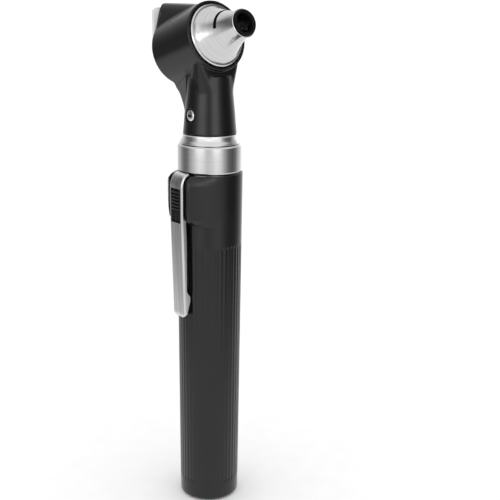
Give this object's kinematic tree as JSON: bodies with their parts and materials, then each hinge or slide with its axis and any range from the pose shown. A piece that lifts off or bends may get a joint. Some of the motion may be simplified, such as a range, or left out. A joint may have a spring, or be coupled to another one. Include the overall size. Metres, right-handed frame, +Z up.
{
  "type": "otoscope",
  "caption": "Pocket otoscope: fluted battery handle with clip and slide switch, unscrewing lamp head, swivelling magnifier and a cone for ear specula.",
  "frame": {"origin": "centre of the handle's flat base, on the handle's axis", "axes": "+Z up along the handle, -Y the way the cone looks (tilted up), -X the side with the clip and switch"},
  "size_m": [0.0234, 0.0375, 0.1557],
  "materials": {
    "black_plastic": "satin black",
    "switch_plastic": "satin black",
    "inner_black": "dull black",
    "satin_aluminium": "fine turned satin",
    "polished_steel": "polished",
    "clip_steel": "satin",
    "brass_contact": "bright",
    "spring_steel": "drawn wire",
    "cell_wrap": "printed wrap over a can",
    "ceramic_white": "moulded white",
    "lamp_glass": "clear",
    "lens_glass": "clear",
    "frosted_acrylic": "translucent pale grey",
    "fibre_glass": "pale, polished ends",
    "seal_rubber": "dull"
  },
  "bodies": {
    "handle": {"handle_sleeve": "black_plastic", "return_strip": "brass_contact", "battery_spring": "spring_steel", "battery_lower": "cell_wrap", "battery_upper": "cell_wrap", "collar": "satin_aluminium", "contact_insulator": "ceramic_white", "contact_rivet": "brass_contact", "plunger_spring": "spring_steel"},
    "clip": {"pocket_clip": "clip_steel"},
    "switch": {"switch_slider": "switch_plastic", "switch_contact": "brass_contact"},
    "plunger": {"contact_plunger": "brass_contact"},
    "head": {"neck_base": "polished_steel", "lamp_shell": "brass_contact", "lamp_insulator": "ceramic_white", "lamp_contact": "brass_contact", "lamp_glass": "lamp_glass", "lamp_filament": "spring_steel", "head_shell": "black_plastic", "neck_screw": "polished_steel", "fibre_ferrule": "brass_contact", "fibre_bundle": "fibre_glass", "sight_tube": "inner_black", "speculum_cone": "satin_aluminium", "cone_seal": "seal_rubber", "lens_washer": "spring_steel", "lens_screw": "polished_steel"},
    "lens": {"lens_plate": "frosted_acrylic", "magnifier_lens": "lens_glass"}
  },
  "joints": [
    {"name": "clip_flex", "type": "hinge", "parent": "handle", "child": "clip", "pos_m": [-0.0104, 0, 0.1056], "axis": [0, 1, 0], "range_deg": [0, 4], "stiffness_Nm_per_rad": 1.85},
    {"name": "switch_slide", "type": "slide", "parent": "handle", "child": "switch", "axis": [0, 0, 1], "range_m": [-0.0026, 0]},
    {"name": "plunger_rise", "type": "slide", "parent": "handle", "child": "plunger", "axis": [0, 0, 1], "range_m": [0, 0.00241], "deforming": ["plunger_spring"]},
    {"name": "head_turn", "type": "hinge", "parent": "plunger", "child": "head", "pos_m": [0, 0, 0.114], "axis": [0, 0, 1], "range_deg": [0, 450]},
    {"name": "lens_swivel", "type": "hinge", "parent": "head", "child": "lens", "pos_m": [0, 0.01297, 0.13322], "axis": [0, -0.9553, 0.2957], "range_deg": [0, 100]}
  ],
  "couplings": [
    {"joint": "plunger_rise", "follows": "head_turn", "m_per_rad": 0.00030558}
  ]
}
